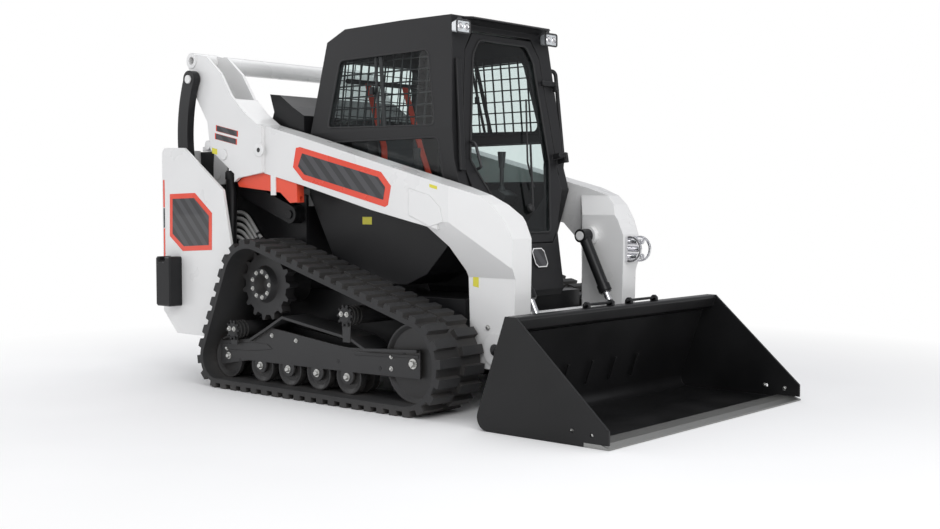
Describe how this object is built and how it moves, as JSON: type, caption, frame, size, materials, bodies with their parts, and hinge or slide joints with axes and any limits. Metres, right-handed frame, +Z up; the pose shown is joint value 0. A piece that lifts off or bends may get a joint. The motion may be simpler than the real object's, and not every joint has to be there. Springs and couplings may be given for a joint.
{
  "type": "compact track loader",
  "caption": "Compact tracked loader with an enclosed cab, a vertical lift arm on rear links, a tilting bucket on a quick coupler and rubber tracks.",
  "frame": {"origin": "on the ground under the middle of the machine's bounding box", "axes": "+X towards the bucket, +Y to the machine's left, +Z up"},
  "size_m": [3.38, 1.736, 1.9693],
  "materials": {
    "white_paint": "gloss white enamel",
    "black_paint": "satin black enamel",
    "cab_paint": "satin charcoal powder coat",
    "undercarriage_paint": "satin dark grey paint",
    "bucket_paint": "satin black paint, scuffed inside",
    "track_rubber": "matte moulded rubber",
    "engine_iron": "painted casting",
    "glass": "tinted safety glass",
    "seat_vinyl": "black vinyl",
    "dark_plastic": "moulded black plastic",
    "lamp_lens": "clear ribbed lens",
    "red_lens": "red lens",
    "red_paint": "orange-red enamel",
    "chrome": "hard chrome",
    "edge_steel": "ground steel edge"
  },
  "bodies": {
    "chassis": {"track_left": "track_rubber", "track_right": "track_rubber", "sprockets": "undercarriage_paint", "final_drives": "undercarriage_paint", "rollers": "undercarriage_paint", "front_idlers": "undercarriage_paint", "rear_idlers": "undercarriage_paint", "track_frames": "undercarriage_paint", "torsion_axles": "undercarriage_paint", "mainframe": "black_paint", "towers": "white_paint", "counterweights": "black_paint", "engine": "engine_iron", "rear_hinges": "black_paint", "air_cowl": "black_paint", "tail_lights": "red_lens", "cab_frame": "cab_paint", "cab_glass": "glass", "seat": "seat_vinyl", "seat_base": "black_paint", "consoles": "dark_plastic", "work_lights": "lamp_lens", "window_guards": "black_paint"},
    "rear_door": {"rear_door": "white_paint"},
    "engine_hood": {"engine_hood": "white_paint"},
    "cab_door": {"cab_door": "cab_paint", "door_glass": "glass"},
    "control_links": {"control_links": "black_paint"},
    "lift_arm": {"lift_arm_left": "white_paint", "lift_arm_right": "white_paint", "arm_cross_tubes": "white_paint", "tilt_pins": "white_paint", "aux_couplers": "chrome", "arm_support": "red_paint"},
    "rear_links": {"rear_links": "black_paint"},
    "lift_barrels": {"lift_barrels": "black_paint"},
    "lift_rods": {"lift_rods": "chrome"},
    "tilt_barrels": {"tilt_barrels": "black_paint"},
    "tilt_rods": {"tilt_rods": "chrome"},
    "coupler_pins": {"coupler_pins": "chrome"},
    "bucket": {"coupler": "black_paint", "bucket": "bucket_paint", "cutting_edge": "edge_steel"}
  },
  "joints": [
    {"name": "control_link_swing", "type": "hinge", "parent": "chassis", "child": "control_links", "pos_m": [-0.663, 0.5, 0.955], "axis": [0, 1, 0], "range_deg": [0, 57.93]},
    {"name": "lift", "type": "hinge", "parent": "control_links", "child": "lift_arm", "pos_m": [-1.258, 0.5, 1.176], "axis": [0, -1, 0], "range_deg": [0, 123.92]},
    {"name": "rear_link_swing", "type": "hinge", "parent": "lift_arm", "child": "rear_links", "pos_m": [-1.341, 0.69, 1.724], "axis": [0, 1, 0], "range_deg": [0, 67.38]},
    {"name": "lift_barrel_swing", "type": "hinge", "parent": "chassis", "child": "lift_barrels", "pos_m": [-1.11, 0.606, 0.43], "axis": [0, 1, 0], "range_deg": [0, 10.52]},
    {"name": "lift_rod_slide", "type": "slide", "parent": "lift_barrels", "child": "lift_rods", "axis": [0.0232, 0, 0.9997], "range_m": [0, 0.5155]},
    {"name": "bucket_level", "type": "hinge", "parent": "lift_arm", "child": "coupler_pins", "pos_m": [0.786, 0.445, 0.316], "axis": [0, 1, 0], "range_deg": [0, 66]},
    {"name": "bucket_tilt", "type": "hinge", "parent": "coupler_pins", "child": "bucket", "pos_m": [0.786, 0.377, 0.316], "axis": [0, 1, 0], "range_deg": [-30, 42]},
    {"name": "tilt_barrel_swing", "type": "hinge", "parent": "lift_arm", "child": "tilt_barrels", "pos_m": [0.7, 0.32, 0.845], "axis": [0, 1, 0], "range_deg": [-3.48, 2.49]},
    {"name": "tilt_rod_slide", "type": "slide", "parent": "tilt_barrels", "child": "tilt_rods", "axis": [0.4429, 0, -0.8966], "range_m": [-0.07801, 0.10921]},
    {"name": "cab_door_swing", "type": "hinge", "parent": "chassis", "child": "cab_door", "pos_m": [0.51, 0.418, 1.265], "axis": [-0.1747, 0, 0.9846], "range_deg": [0, 65]},
    {"name": "rear_door_swing", "type": "hinge", "parent": "chassis", "child": "rear_door", "pos_m": [-1.6, 0.482, 0.85], "axis": [0, 0, -1], "range_deg": [0, 95]},
    {"name": "engine_hood_lift", "type": "hinge", "parent": "chassis", "child": "engine_hood", "pos_m": [-0.945, 0, 1.455], "axis": [0, 1, 0], "range_deg": [0, 35]}
  ],
  "couplings": [
    {"joint": "control_link_swing", "follows": "lift", "ratio": 0.46743},
    {"joint": "rear_link_swing", "follows": "lift", "ratio": 0.54365},
    {"joint": "lift_barrel_swing", "follows": "lift", "ratio": 0.084875},
    {"joint": "lift_rod_slide", "follows": "lift", "m_per_rad": 0.23832},
    {"joint": "bucket_level", "follows": "lift", "ratio": 0.53257},
    {"joint": "tilt_barrel_swing", "follows": "bucket_tilt", "ratio": -0.0829},
    {"joint": "tilt_rod_slide", "follows": "bucket_tilt", "m_per_rad": 0.14899}
  ]
}
